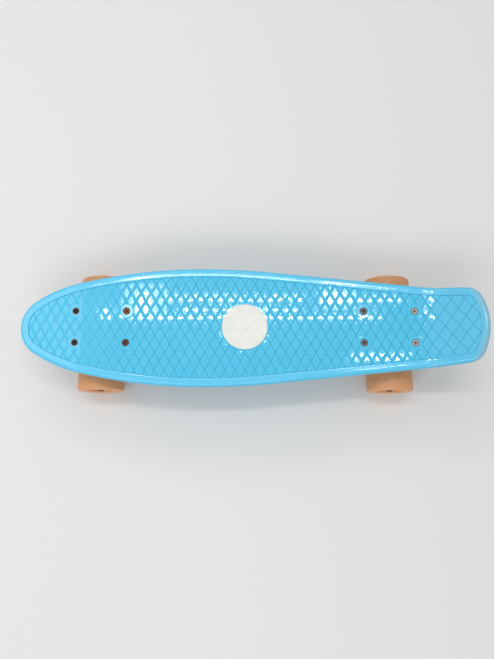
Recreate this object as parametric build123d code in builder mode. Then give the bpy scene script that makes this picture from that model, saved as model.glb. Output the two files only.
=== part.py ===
from build123d import *
from math import acos, asin, atan2, ceil, cos, degrees, hypot, pi, radians, sin, sqrt, tan
import os

# A plastic cruiser skateboard, in millimetres. The origin is on the floor below the middle of the
# deck, the nose points along -X, +Z is up and +Y is the rider's right hand.

# Deck outline, seen from above
deck_length = 578.4
deck_width = 150.0
widest_x = -60.0  # where the deck is widest
nose_radius = 38.0
nose_turn = 56.0  # degrees that the nose arc turns before the shoulder begins
shoulder_reach = 32.5  # tangent length of the shoulder arc
waist_radius = 860.0
tail_width = 91.0  # between the tail's corners, before they are rounded
tail_end_radius = 88.0
tail_corner_radius = 20.0

# Deck seen from the side: levels are measured from the ride line, which carries the feet
ride_z = 91.0
droop_length = 53.2  # of the nose, from where it starts to dip
droop_radius = 280.0
tail_length = 64.2  # of the kicktail, seen from above, from the crease to the tip
kick_angle = 26.0
kick_radius = 45.0
rim_width = 10.5
rim_rise = 0.8
rim_depth = 13.0
rim_wall = 7.0
rim_round = 4.5  # of the rim's outer top edge
rim_foot_round = 2.0  # of the rim's outer bottom edge
plate_thickness = 6.0

# Waffle tread: two families of grooves that leave diamonds standing
tread_pitch = 12.5  # along the deck, from diamond to diamond
tail_tread_pitch = 15.0  # the same on the kicktail, where the diamonds are longer
groove_angle = 60.0  # between a groove and the deck's length, ahead of the kicktail
groove_width = 1.5
groove_depth = 0.8
bolt_pad_diameter = 17.0
sticker_pad_diameter = 61.0
sticker_diameter = 57.0
sticker_thickness = 0.25
sticker_x = -7.0

# Stiffening below the deck
rib_thickness = 3.0
rib_depth = 11.0
long_rib_y = 21.0
cross_rib_pitch = 48.0
cross_rib_count = 5
truck_pad_margin = 4.0
truck_pad_level = 10.0  # from the ride line down to the seat of the trucks

# Deck bolts, a countersunk cross-head bolt with a lock nut
front_truck_x = -187.0
rear_truck_x = 173.0
bolt_pitch_x = 63.5
bolt_pitch_y = 40.0
bolt_diameter = 5.0
bolt_length = 21.5
bolt_head_diameter = 9.4
bolt_head_height = 2.2
bolt_clearance = 0.2  # all round a bolt in its hole
seat_clearance = 0.05  # all round a piece that is seated in another
cross_slot_length = 4.6
cross_slot_width = 1.1
cross_slot_depth = 1.3
bolt_nut_flats = 8.0
bolt_nut_height = 5.0
nut_hexagon_share = 0.7  # of a nut's height, below its collar
nut_collar_round = 0.1  # of a nut's flats

# Baseplate
base_length = 84.0
base_width = 58.0
base_thickness = 5.0
base_corner = 9.0
kingpin_boss_diameter = 31.0
pivot_boss_wall = 3.0
pivot_boss_taper = 2.0  # degrees, wider toward the deck
cast_round = 1.2  # of the castings' outer edges

# Truck geometry, u runs outward from the truck's middle to the end of the board
axle_u = 10.0
axle_z = 30.0
ring_u = -16.0
ring_z = 43.0
kingpin_lean = 18.0  # degrees from upright, nut end toward the middle of the board
pivot_u = 22.0
pivot_z = 64.0

# Kingpin, bushings and their washers
kingpin_diameter = 9.5
kingpin_tail = 2.5  # of thread that shows past its nut
kingpin_head_flats = 14.3
kingpin_head_height = 6.0
kingpin_head_sink = 0.5  # of the head's highest corner below the deck
kingpin_nut_flats = 14.3
kingpin_nut_height = 7.0
bushing_diameter = 24.0
bushing_waist = 21.5
board_bushing_height = 13.5
road_bushing_height = 11.5
bushing_clearance = 0.3
cup_washer_thickness = 1.5
cup_washer_lip = 1.2

# Hanger
ring_diameter = 31.0
ring_thickness = 9.0
ring_bore = 14.0
bushing_seat_depth = 1.5
web_width = 27.0
beam_width = 22.0
beam_height = 23.0
hanger_width = 79.0
hanger_end_diameter = 18.0
stalk_root_diameter = 18.0
stalk_neck_diameter = 9.5
pivot_ball_diameter = 12.0
pivot_clearance = 0.3
pivot_cup_wall = 2.6
pivot_cup_floor = 3.0
pivot_cup_skirt = 1.0  # of the cup below the middle of the ball

# Axle, bearings and wheels
axle_diameter = 8.0
axle_tail = 1.5  # of thread that shows past each axle nut
axle_end_chamfer = 0.8
axle_nut_flats = 13.0
axle_nut_height = 8.0
speed_washer_diameter = 11.5
speed_washer_thickness = 1.0
bearing_outside = 22.0
bearing_width = 7.0
inner_race_outside = 12.2
outer_race_inside = 17.8
shield_thickness = 0.4
shield_inset = 0.3
shield_clearance = 0.2
spacer_length = 10.0
spacer_diameter = 10.2
ball_diameter = 3.969
ball_count = 7  # in each bearing
ball_clearance = 0.05  # between a ball and its raceways
cage_thickness = 0.8
cage_width = 5.0
cage_clearance = 0.1  # between a ball and its pocket
wheel_diameter = 60.0
wheel_width = 45.0
wheel_lip_radius = 2.5
wheel_mouth_round = 1.5
wheel_mouth_diameter = 32.0
wheel_throat_diameter = 25.0
wheel_core_bore = 18.6

# Places worked out from the sizes above
nose_x = -deck_length / 2
tail_x = deck_length / 2
droop_x = nose_x + droop_length
crease_x = tail_x - tail_length
kick_x = crease_x - kick_radius * tan(radians(kick_angle / 2))
seat_z = ride_z - truck_pad_level
wheel_y = hanger_width / 2 + speed_washer_thickness + bearing_width + spacer_length / 2
axle_length = hanger_width + 4 * (speed_washer_thickness + bearing_width) + 2 * spacer_length
axle_length += 2 * (axle_nut_height + axle_tail)
bolt_spots = [(i * bolt_pitch_x / 2, j * bolt_pitch_y / 2) for i in (-1, 1) for j in (-1, 1)]
bolt_points = [(x + u, y) for x in (front_truck_x, rear_truck_x) for u, y in bolt_spots]

os.makedirs("parts", exist_ok=True)


def write(piece, node):
    """Label a finished piece and write it as the node of that name."""
    piece.label = node
    export_step(piece, f"parts/{node}.step")


# Deck


def outline(inset=0.0):
    """The deck's plan, drawn in from its edge by inset: nose, shoulder, flank, waist and tail."""
    corner_y = tail_width / 2
    corner_x = tail_x - tail_end_radius + sqrt(tail_end_radius**2 - corner_y**2)
    widest = Vector(widest_x, deck_width / 2)
    with BuildSketch() as plan:
        with BuildLine():
            nose = JernArc((nose_x, 0), (0, 1), nose_radius, -nose_turn)
            leave = nose % 1
            span = widest - nose @ 1
            flank_reach = (span.dot(span) - 2 * shoulder_reach * span.dot(leave)) / 2
            flank_reach /= span.X + shoulder_reach * (1 - leave.X)
            bend_in = nose @ 1 + leave * shoulder_reach
            bend_out = widest - Vector(flank_reach, 0)
            share = shoulder_reach / (shoulder_reach + flank_reach)
            shoulder = TangentArc(nose @ 1, bend_in + (bend_out - bend_in) * share, tangent=leave)
            TangentArc(shoulder @ 1, widest, tangent=shoulder % 1)
            centre = widest - Vector(0, waist_radius)
            run = Vector(corner_x, corner_y) - centre
            turn = atan2(run.Y, run.X) + acos(waist_radius / hypot(run.X, run.Y))
            waist_end = centre + Vector(cos(turn), sin(turn)) * waist_radius
            TangentArc(widest, waist_end, tangent=(1, 0))
            Line(waist_end, (corner_x, corner_y))
            mirror(about=Plane.XZ)
            ThreePointArc((corner_x, corner_y), (tail_x, 0), (corner_x, -corner_y))
        make_face()
        fillet(plan.vertices().sort_by(Axis.X)[-2:], tail_corner_radius)
        if inset:
            offset(amount=-inset)
    return plan.sketch


def slab(plan, top, bottom):
    """The plan, raised between two levels of the ride line: dipped nose, flat, kick and tail."""
    height = ride_z + tail_length
    with BuildPart() as body:
        with BuildSketch():
            add(plan)
        extrude(amount=2 * height)
        with BuildSketch(Plane.XZ):
            with BuildLine():
                ends = []
                for level in (top, bottom):
                    flat = Line((droop_x, ride_z + level), (kick_x, ride_z + level))
                    dip = asin(2 * droop_length / droop_radius)
                    nose = JernArc(flat @ 0, (-1, 0), droop_radius + level, degrees(dip))
                    kick = JernArc(flat @ 1, (1, 0), kick_radius - level, kick_angle)
                    tail = PolarLine(kick @ 1, 2 * tail_length, kick_angle)
                    ends.append((nose @ 1, tail @ 1))
                Line(ends[0][0], ends[1][0])
                Line(ends[0][1], ends[1][1])
            make_face()
        extrude(amount=deck_width, both=True, mode=Mode.INTERSECT)
    return body.part


def groove_strips(pitch, start, end, hand):
    """Leaning strips between two places along the deck, counted from the crease where both kinds meet."""
    row = tread_pitch * tan(radians(groove_angle))
    lean = hand * degrees(atan2(row, pitch))
    reach = ceil((end - start + deck_width) / pitch)
    with BuildSketch() as strips:
        with Locations(*[(crease_x + pitch * i, 0) for i in range(-reach, reach + 1)]):
            Rectangle(2 * deck_width, groove_width, rotation=lean)
        with Locations(((start + end) / 2, 0)):
            Rectangle(end - start, deck_width, mode=Mode.INTERSECT)
    return strips.sketch


def grooves(hand):
    """One family of tread grooves in plan, kept off the rim, the bolt pads and the sticker."""
    with BuildSketch() as family:
        add(groove_strips(tread_pitch, nose_x, crease_x, hand))
        add(groove_strips(tail_tread_pitch, crease_x, tail_x, hand))
        add(outline(rim_width), mode=Mode.INTERSECT)
        with Locations(*bolt_points):
            Circle(bolt_pad_diameter / 2, mode=Mode.SUBTRACT)
        with Locations((sticker_x, 0)):
            Circle(sticker_pad_diameter / 2, mode=Mode.SUBTRACT)
    return family.sketch


with BuildSketch() as truck_pads:
    with Locations((front_truck_x, 0), (rear_truck_x, 0)):
        RectangleRounded(base_length + 2 * truck_pad_margin, base_width + 2 * truck_pad_margin, base_corner)

with BuildSketch() as ribs:
    middle_x = (front_truck_x + rear_truck_x) / 2
    with Locations((0, long_rib_y), (0, -long_rib_y)):
        Rectangle(deck_length, rib_thickness)
    with Locations((middle_x, 0)):
        with GridLocations(cross_rib_pitch, 0, cross_rib_count, 1):
            Rectangle(rib_thickness, deck_width)
    add(outline(rim_wall), mode=Mode.INTERSECT)
    add(truck_pads.sketch, mode=Mode.SUBTRACT)

with BuildPart() as deck:
    add(slab(outline(), rim_rise, -rim_depth))
    upper_skin = deck.faces().filter_by(lambda face: face.normal_at().Z > 0.5)
    fillet(upper_skin.edges().filter_by(Axis.Y, reverse=True), rim_round)
    lower_skin = deck.faces().filter_by(lambda face: face.normal_at().Z < -0.5)
    fillet(lower_skin.edges().filter_by(Axis.Y, reverse=True), rim_foot_round)
    add(slab(outline(rim_width), 2 * rim_rise, 0), mode=Mode.SUBTRACT)
    add(slab(outline(rim_wall), -plate_thickness, -2 * rim_depth), mode=Mode.SUBTRACT)
    add(slab(ribs.sketch, -plate_thickness, -rib_depth))
    add(slab(truck_pads.sketch, -plate_thickness, -truck_pad_level))
    with Locations(*[Location((x, y, ride_z)) for x, y in bolt_points]):
        CounterSinkHole(
            bolt_diameter / 2 + bolt_clearance,
            bolt_head_diameter / 2 + seat_clearance,
            counter_sink_angle=2 * degrees(atan2(bolt_head_diameter - bolt_diameter, 2 * bolt_head_height)),
        )
    border = outline(rim_width) - outline(rim_width + groove_width)
    for plan in (border, grooves(1), grooves(-1)):
        add(slab(plan, rim_rise, -groove_depth), mode=Mode.SUBTRACT, clean=False)
write(deck.solid(), "deck")

with BuildPart() as deck_sticker:
    with BuildSketch(Plane.XY.offset(ride_z)):
        with Locations((sticker_x, 0)):
            Circle(sticker_diameter / 2)
    extrude(amount=sticker_thickness)
write(deck_sticker.part, "deck_sticker")

# Deck bolts and every nut


def lock_nut(flats, height, bore):
    """A lock nut that stands on z = 0: its hexagon, and the round collar that holds the insert."""
    with BuildPart() as nut:
        with BuildSketch():
            RegularPolygon(flats / 2, 6, major_radius=False)
        extrude(amount=height * nut_hexagon_share)
        with BuildSketch():
            Circle(flats / 2)
        extrude(amount=height)
        fillet(nut.faces().sort_by(Axis.Z)[-1].edges(), flats * nut_collar_round)
        Hole(bore / 2)
    return nut.part


with BuildPart() as deck_bolts:
    with BuildSketch(Plane.XY.offset(ride_z - bolt_length)):
        with Locations(*bolt_spots):
            Circle(bolt_diameter / 2)
    extrude(amount=bolt_length)
    with Locations(*[(u, y, ride_z - bolt_head_height / 2) for u, y in bolt_spots]):
        Cone(bolt_diameter / 2, bolt_head_diameter / 2, bolt_head_height)
    with BuildSketch(Plane.XY.offset(ride_z)):
        with Locations(*bolt_spots):
            Rectangle(cross_slot_length, cross_slot_width)
            Rectangle(cross_slot_width, cross_slot_length)
    extrude(amount=-cross_slot_depth, mode=Mode.SUBTRACT)

with BuildPart() as deck_nuts:
    with Locations(*[Location((u, y, seat_z - base_thickness), (180, 0, 0)) for u, y in bolt_spots]):
        add(lock_nut(bolt_nut_flats, bolt_nut_height, bolt_diameter + 2 * seat_clearance))

# Truck, drawn in its own frame with u along X

ring_centre = Vector(ring_u, 0, ring_z)
pivot_point = Vector(pivot_u, 0, pivot_z)
kingpin_direction = Vector(sin(radians(kingpin_lean)), 0, cos(radians(kingpin_lean)))
kingpin_plane = Plane(ring_centre, x_dir=kingpin_direction.cross(Vector(0, -1, 0)), z_dir=kingpin_direction)
kingpin_section = Plane(ring_centre, x_dir=kingpin_plane.x_dir, z_dir=(0, -1, 0))
kingpin_axis = Axis(ring_centre, kingpin_direction)
stalk = pivot_point - Vector(axle_u, 0, axle_z)
pivot_plane = Plane(pivot_point, x_dir=(0, 1, 0), z_dir=stalk)

# Heights along the kingpin, from the middle of the hanger's ring
bushing_seat = ring_thickness / 2 - bushing_seat_depth
board_stack = bushing_seat + board_bushing_height
boss_face = board_stack + cup_washer_thickness
road_stack = -bushing_seat - road_bushing_height
nut_face = road_stack - cup_washer_thickness
head_corner = kingpin_head_flats / 2 / cos(radians(30))
head_drop = head_corner * sin(radians(kingpin_lean)) + kingpin_head_sink
head_top = (seat_z - head_drop - ring_z) / cos(radians(kingpin_lean))
head_seat = head_top - kingpin_head_height
cup_radius = pivot_ball_diameter / 2 + pivot_clearance + pivot_cup_wall
cup_height = pivot_cup_skirt + pivot_ball_diameter / 2 + pivot_clearance + pivot_cup_floor

with BuildPart() as baseplate:
    with BuildSketch(Plane.XY.offset(seat_z)):
        RectangleRounded(base_length, base_width, base_corner)
    extrude(amount=-base_thickness)
    fillet(baseplate.faces().sort_by(Axis.Z)[0].edges(), cast_round)
    with BuildSketch(kingpin_plane.offset(boss_face)):
        Circle(kingpin_boss_diameter / 2)
    extrude(amount=seat_z - ring_z)
    boss_roots = baseplate.edges().filter_by(GeomType.ELLIPSE).group_by(Axis.Z)[0]
    boss_ends = baseplate.edges().filter_by(GeomType.CIRCLE).sort_by(Axis.Z)[:1]
    fillet(boss_roots + boss_ends, cast_round)
    with BuildSketch(pivot_plane.offset(-pivot_cup_skirt)):
        Circle(cup_radius + pivot_boss_wall)
    extrude(amount=seat_z - ring_z, taper=-pivot_boss_taper)
    split(bisect_by=Plane.XY.offset(seat_z), keep=Keep.BOTTOM)
    with BuildSketch(kingpin_plane.offset(boss_face)):
        Circle(kingpin_diameter / 2 + seat_clearance)
    extrude(amount=head_top, mode=Mode.SUBTRACT)
    with BuildSketch(kingpin_plane.offset(head_seat)):
        RegularPolygon(kingpin_head_flats / 2 + seat_clearance, 6, major_radius=False)
    extrude(amount=head_top, mode=Mode.SUBTRACT)
    with BuildSketch(pivot_plane.offset(-pivot_cup_skirt)):
        Circle(cup_radius + seat_clearance)
    extrude(amount=cup_height, mode=Mode.SUBTRACT)
    with Locations(*[(u, y, seat_z) for u, y in bolt_spots]):
        Hole(bolt_diameter / 2 + bolt_clearance)

with BuildPart() as pivot_cup:
    with BuildSketch(pivot_plane.offset(-pivot_cup_skirt)):
        Circle(cup_radius)
    extrude(amount=cup_height)
    with BuildSketch(pivot_plane.offset(-pivot_cup_skirt)):
        Circle(pivot_ball_diameter / 2 + pivot_clearance)
    extrude(amount=pivot_cup_skirt, mode=Mode.SUBTRACT)
    with Locations(pivot_point):
        Sphere(pivot_ball_diameter / 2 + pivot_clearance, mode=Mode.SUBTRACT)

with BuildPart() as kingpin:
    with BuildSketch(kingpin_plane.offset(nut_face - kingpin_nut_height - kingpin_tail)):
        Circle(kingpin_diameter / 2)
    extrude(amount=head_seat - nut_face + kingpin_nut_height + kingpin_tail)
    with BuildSketch(kingpin_plane.offset(head_seat)):
        RegularPolygon(kingpin_head_flats / 2, 6, major_radius=False)
    extrude(amount=kingpin_head_height)

with BuildPart() as kingpin_nut:
    nut_seat = Plane(ring_centre + kingpin_direction * nut_face, x_dir=(0, 1, 0), z_dir=-kingpin_direction)
    with Locations(nut_seat):
        add(lock_nut(kingpin_nut_flats, kingpin_nut_height, kingpin_diameter + 2 * seat_clearance))

with BuildPart() as board_bushing:
    with BuildSketch(kingpin_section):
        with BuildLine():
            inner = kingpin_diameter / 2 + bushing_clearance
            outer = bushing_diameter / 2
            Polyline((outer, board_stack), (inner, board_stack), (inner, bushing_seat), (outer, bushing_seat))
            waist = (bushing_waist / 2, (bushing_seat + board_stack) / 2)
            ThreePointArc((outer, bushing_seat), waist, (outer, board_stack))
        make_face()
    revolve(axis=kingpin_axis)

with BuildPart() as road_bushing:
    with BuildSketch(kingpin_section):
        with BuildLine():
            Polyline(
                (bushing_diameter / 2, -bushing_seat),
                (bushing_waist / 2, road_stack),
                (kingpin_diameter / 2 + bushing_clearance, road_stack),
                (kingpin_diameter / 2 + bushing_clearance, -bushing_seat),
                close=True,
            )
        make_face()
    revolve(axis=kingpin_axis)


def cup_washer(level, lip_direction, bushing_end):
    """A washer between a bushing and what it bears on, with a lip that turns over the bushing's end."""
    lip = bushing_end / 2 + bushing_clearance
    rim = lip + cup_washer_thickness
    with BuildPart() as washer:
        with BuildSketch(kingpin_section):
            with BuildLine():
                Polyline(
                    (kingpin_diameter / 2 + seat_clearance, level),
                    (lip, level),
                    (lip, level + lip_direction * cup_washer_lip),
                    (rim, level + lip_direction * cup_washer_lip),
                    (rim, level - lip_direction * cup_washer_thickness),
                    (kingpin_diameter / 2 + seat_clearance, level - lip_direction * cup_washer_thickness),
                    close=True,
                )
            make_face()
        revolve(axis=kingpin_axis)
    return washer.part


with BuildPart() as hanger_ring:
    with BuildSketch(kingpin_plane.offset(-ring_thickness / 2)):
        web_length = (Vector(axle_u, 0, axle_z) - ring_centre).dot(kingpin_plane.x_dir)
        with Locations((web_length / 2, 0)):
            Rectangle(web_length, web_width)
        Circle(ring_diameter / 2)
    extrude(amount=ring_thickness)
    ring_faces = hanger_ring.faces().filter_by(kingpin_axis)
    fillet(ring_faces.edges(), cast_round)

with BuildPart() as hanger:
    for side in (-1, 1):
        with BuildSketch(Plane.XZ):
            with Locations((axle_u, axle_z)):
                Ellipse(beam_width / 2, beam_height / 2)
        with BuildSketch(Plane.XZ.offset(side * hanger_width / 2)):
            with Locations((axle_u, axle_z)):
                Circle(hanger_end_diameter / 2)
        loft()
    add(hanger_ring.part)
    with BuildSketch(pivot_plane.offset(-stalk.length)):
        Circle(stalk_root_diameter / 2)
    with BuildSketch(pivot_plane):
        Circle(stalk_neck_diameter / 2)
    loft()
    with Locations(pivot_point):
        Sphere(pivot_ball_diameter / 2)
    for face in (-1, 1):
        with BuildSketch(kingpin_plane.offset(face * ring_thickness / 2)):
            Circle(bushing_diameter / 2 + bushing_clearance)
        extrude(amount=-face * bushing_seat_depth, mode=Mode.SUBTRACT)
    with BuildSketch(kingpin_plane):
        Circle(ring_bore / 2)
    extrude(amount=ring_thickness, both=True, mode=Mode.SUBTRACT)
    with BuildSketch(Plane.XZ):
        with Locations((axle_u, axle_z)):
            Circle(axle_diameter / 2 + seat_clearance)
    extrude(amount=hanger_width, both=True, mode=Mode.SUBTRACT)

with BuildPart() as axle:
    with BuildSketch(Plane.XZ):
        with Locations((axle_u, axle_z)):
            Circle(axle_diameter / 2)
    extrude(amount=axle_length / 2, both=True)
    chamfer(axle.edges(), axle_end_chamfer)

# What sits on the axle at each wheel, drawn along +Y from the middle of the wheel


ball_path_radius = (inner_race_outside + outer_race_inside) / 4


def ring(inside, outside, start, length):
    """A plain ring about the axle from start to start + length."""
    with BuildPart() as collar:
        with BuildSketch():
            with Locations(((inside + outside) / 4, start + length / 2)):
                Rectangle((outside - inside) / 2, length)
        revolve(axis=Axis.Y)
    return collar.part


def race(inside, outside, start):
    """A bearing race about the axle, with the raceway groove that the balls run in."""
    with BuildPart() as collar:
        with BuildSketch():
            with Locations(((inside + outside) / 4, start + bearing_width / 2)):
                Rectangle((outside - inside) / 2, bearing_width)
            with Locations((ball_path_radius, start + bearing_width / 2)):
                Circle(ball_diameter / 2 + ball_clearance, mode=Mode.SUBTRACT)
        revolve(axis=Axis.Y)
    return collar.part


def ball_places(start):
    """The middles of the balls of the bearing that begins at start."""
    turns = [2 * pi * i / ball_count for i in range(ball_count)]
    middle = start + bearing_width / 2
    return [(ball_path_radius * cos(turn), middle, ball_path_radius * sin(turn)) for turn in turns]


def ball(centre):
    """One bearing ball."""
    with BuildPart() as sphere:
        with Locations(centre):
            Sphere(ball_diameter / 2)
    return sphere.part


def cage(start):
    """The ring that keeps a bearing's balls apart, drilled with a pocket for each."""
    with BuildPart() as ribbon:
        inside = 2 * ball_path_radius - cage_thickness
        add(ring(inside, inside + 2 * cage_thickness, start + (bearing_width - cage_width) / 2, cage_width))
        for centre in ball_places(start):
            with BuildSketch(Plane(centre, x_dir=(0, 1, 0), z_dir=(centre[0], 0, centre[2]))):
                Circle(ball_diameter / 2 + cage_clearance)
            extrude(amount=2 * cage_thickness, both=True, mode=Mode.SUBTRACT)
    return ribbon.part


axle_hole = axle_diameter + 2 * seat_clearance
bearing_starts = (-spacer_length / 2 - bearing_width, spacer_length / 2)
shield_bore = inner_race_outside + 2 * shield_clearance
washer_start = spacer_length / 2 + bearing_width
nut_plane = Plane((0, washer_start + speed_washer_thickness, 0), x_dir=(1, 0, 0), z_dir=(0, 1, 0))
hub_parts = {
    "axle_nuts": [nut_plane * lock_nut(axle_nut_flats, axle_nut_height, axle_hole)],
    "speed_washers": [
        ring(axle_hole, speed_washer_diameter, start, speed_washer_thickness)
        for start in (-washer_start - speed_washer_thickness, washer_start)
    ],
    "bearing_spacers": [ring(axle_hole, spacer_diameter, -spacer_length / 2, spacer_length)],
    "inner_races": [race(axle_hole, inner_race_outside, start) for start in bearing_starts],
}
with BuildPart() as wheel:
    with BuildSketch() as section:
        with BuildLine():
            Polyline(
                (wheel_core_bore / 2, 0),
                (wheel_core_bore / 2, spacer_length / 2),
                (bearing_outside / 2 + seat_clearance, spacer_length / 2),
                (bearing_outside / 2 + seat_clearance, washer_start),
                (wheel_throat_diameter / 2, washer_start),
                (wheel_mouth_diameter / 2, wheel_width / 2),
                (wheel_diameter / 2, wheel_width / 2),
                (wheel_diameter / 2, 0),
                close=True,
            )
        make_face()
        mirror(about=Plane.XZ)
        for side in (0, -1):
            fillet(section.vertices().group_by(Axis.Y)[side].sort_by(Axis.X)[-1], wheel_lip_radius)
            fillet(section.vertices().group_by(Axis.Y)[side].sort_by(Axis.X)[0], wheel_mouth_round)
    revolve(axis=Axis.Y)

wheel_parts = {
    "wheel": [wheel.part],
    "outer_races": [race(outer_race_inside, bearing_outside, start) for start in bearing_starts],
    "bearing_shields": [
        ring(shield_bore, outer_race_inside - 2 * seat_clearance, start + inset, shield_thickness)
        for start in bearing_starts
        for inset in (shield_inset, bearing_width - shield_inset - shield_thickness)
    ],
    "bearing_balls": [ball(centre) for start in bearing_starts for centre in ball_places(start)],
    "bearing_cages": [cage(start) for start in bearing_starts],
}

# Both trucks, the front one turned half round, and the four wheels

truck_parts = {
    "deck_bolts": deck_bolts.part,
    "deck_nuts": deck_nuts.part,
    "baseplate": baseplate.part,
    "pivot_cup": pivot_cup.part,
    "kingpin": kingpin.part,
    "kingpin_nut": kingpin_nut.part,
    "board_bushing": board_bushing.part,
    "road_bushing": road_bushing.part,
    "board_washer": cup_washer(board_stack, -1, bushing_diameter),
    "road_washer": cup_washer(road_stack, 1, bushing_waist),
    "hanger": hanger.part,
    "axle": axle.part,
}
truck_places = {
    "front": Location((front_truck_x, 0, 0), (0, 0, 180)),
    "rear": Location((rear_truck_x, 0, 0)),
}
hub_places = {
    "left": Location((axle_u, -wheel_y, axle_z), (0, 0, 180)),
    "right": Location((axle_u, wheel_y, axle_z)),
}


def gather(pieces, places):
    """Copies of some pieces at some places, as separate solids of one node."""
    with BuildPart() as group:
        with Locations(*places):
            for piece in pieces:
                add(piece)
    return group.part


for end, truck in truck_places.items():
    for node, piece in truck_parts.items():
        write(truck * piece, f"{end}_{node}")
    for node, pieces in hub_parts.items():
        write(gather(pieces, [truck * hub for hub in hub_places.values()]), f"{end}_{node}")
    for hub in hub_places.values():
        place = truck * hub
        hand = "right" if place.position.Y > 0 else "left"
        for node, pieces in wheel_parts.items():
            write(gather(pieces, [place]), f"{end}_{hand}_{node}")
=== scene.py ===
# %% [markdown]
# A plastic cruiser skateboard, dressed for its portrait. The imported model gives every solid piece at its
# real size: deck, trucks, bearings and wheels. This lesson adds what a mould, a foundry and some years of
# riding add: the waffle tread, the gloss, the threads, the rust and the dust. All lengths are in metres.

# %% Load the frame and keep its box
import math

import bpy
import numpy as np
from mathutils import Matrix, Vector


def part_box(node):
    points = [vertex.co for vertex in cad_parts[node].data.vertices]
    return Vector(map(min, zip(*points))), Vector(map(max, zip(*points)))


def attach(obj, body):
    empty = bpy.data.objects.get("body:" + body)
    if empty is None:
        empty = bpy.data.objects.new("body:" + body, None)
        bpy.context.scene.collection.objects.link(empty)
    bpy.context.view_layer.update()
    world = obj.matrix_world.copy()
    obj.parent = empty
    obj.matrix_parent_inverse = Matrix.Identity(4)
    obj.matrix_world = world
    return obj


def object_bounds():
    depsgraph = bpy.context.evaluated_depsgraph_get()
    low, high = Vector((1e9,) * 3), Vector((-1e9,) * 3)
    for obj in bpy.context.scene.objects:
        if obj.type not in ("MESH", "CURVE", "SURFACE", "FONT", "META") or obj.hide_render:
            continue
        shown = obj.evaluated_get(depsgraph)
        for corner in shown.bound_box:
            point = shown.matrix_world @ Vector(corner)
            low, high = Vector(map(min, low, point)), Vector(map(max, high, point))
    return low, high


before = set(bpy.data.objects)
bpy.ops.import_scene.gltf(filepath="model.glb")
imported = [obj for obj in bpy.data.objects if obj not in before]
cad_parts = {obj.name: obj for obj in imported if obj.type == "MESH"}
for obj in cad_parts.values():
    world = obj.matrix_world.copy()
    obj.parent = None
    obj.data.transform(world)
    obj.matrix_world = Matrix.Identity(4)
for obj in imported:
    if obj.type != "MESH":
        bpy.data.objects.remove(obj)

scene = bpy.context.scene
cad_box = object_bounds()
mm = 0.001
print("size in mm:", [round((high - low) / mm, 1) for low, high in zip(*cad_box)])

# %% [markdown]
# The camera stands where the photographer's did: almost straight above the board, a little to its left
# side, at arm's length. It could be nudged into place by eye, but matching the outline of the deck and the
# bolt heads gives its place and its lens at once. The picture is taller than it is wide, so the sensor's
# 36 mm lie along the height.

# %% Camera
camera_place = (0.0026, -0.1523, 0.8998)
camera_turn = (10.429, 0.474, 0.042)  # degrees about X, Y and Z, the Z turn first
focal_length = 36.093  # in millimetres, as the sensor's size is
sensor_size = 36.0
camera_data = bpy.data.cameras.new("camera")
camera_data.lens = focal_length
camera_data.sensor_width = sensor_size
camera = bpy.data.objects.new("camera", camera_data)
camera.location = camera_place
camera.rotation_mode = "ZYX"
camera.rotation_euler = [math.radians(turn) for turn in camera_turn]
scene.collection.objects.link(camera)
scene.camera = camera
print("camera height:", camera.location.z)

# %% [markdown]
# Nodes are easier to read as formulas than as pictures of boxes and wires. These helpers add one node to
# any tree. Each value is linked if it is a socket, and written on the node if it is a number or a colour.

# %% Helpers for node trees
def feed(tree, socket, value):
    """Link a socket to another one, or write a plain value on it; None leaves it as it is."""
    if isinstance(value, bpy.types.NodeSocket):
        tree.links.new(value, socket)
    elif value is not None:
        socket.default_value = value


def node(tree, kind, *values, **settings):
    """Add a node, set its options, then feed its inputs in their order."""
    made = tree.nodes.new(kind)
    for option, setting in settings.items():
        setattr(made, option, setting)
    for socket, value in zip(made.inputs, values):
        feed(tree, socket, value)
    return made


def maths(tree, operation, *values):
    """The result of one Math node."""
    return node(tree, "ShaderNodeMath", *values, operation=operation).outputs[0]


def ranged(tree, value, low, high, new_low, new_high, ease="LINEAR"):
    """A value carried from one range to another, and held inside it."""
    return node(
        tree, "ShaderNodeMapRange", value, low, high, new_low, new_high, interpolation_type=ease
    ).outputs[0]


def distance(tree, place, point):
    """How far a place lies from a point."""
    return node(tree, "ShaderNodeVectorMath", place, point, operation="DISTANCE").outputs["Value"]


# %% [markdown]
# Every finish starts as one Principled shader. The constant numbers go straight onto its sockets, and the
# patterns read Object coordinates, so they stay fixed to the piece however the board is posed. Noise keeps
# to the middle of its range from 0 to 1, so two spans say which part of it is stretched to the full range.

# %% Helpers for finishes
noise_span = (0.3, 0.7)  # that nearly all of a noise lies in
patch_span = (0.35, 0.65)  # a little less, so that patches have plain middles


def finish(name, roughness, **sockets):
    """A material with one Principled shader; returns it with its tree, shader and Object coordinates."""
    material = bpy.data.materials.new(name)
    material.use_nodes = True
    tree = material.node_tree
    shader = tree.nodes["Principled BSDF"]
    shader.inputs["Roughness"].default_value = roughness
    for socket, value in sockets.items():
        shader.inputs[socket.replace("_", " ")].default_value = value
    place = node(tree, "ShaderNodeTexCoord").outputs["Object"]
    return material, tree, shader, place


def noise(tree, place, grains, detail=3.0, stretch=None):
    """A noise value with so many grains to the metre, drawn out by the three factors of stretch."""
    if stretch:
        place = node(tree, "ShaderNodeMapping", place, None, None, stretch).outputs[0]
    return node(tree, "ShaderNodeTexNoise", place, None, grains, detail).outputs[0]


def patches(tree, place, grains, detail=3.0, span=patch_span):
    """Soft patches of 0 and 1 from a noise."""
    return ranged(tree, noise(tree, place, grains, detail), *span, 0.0, 1.0)


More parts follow.
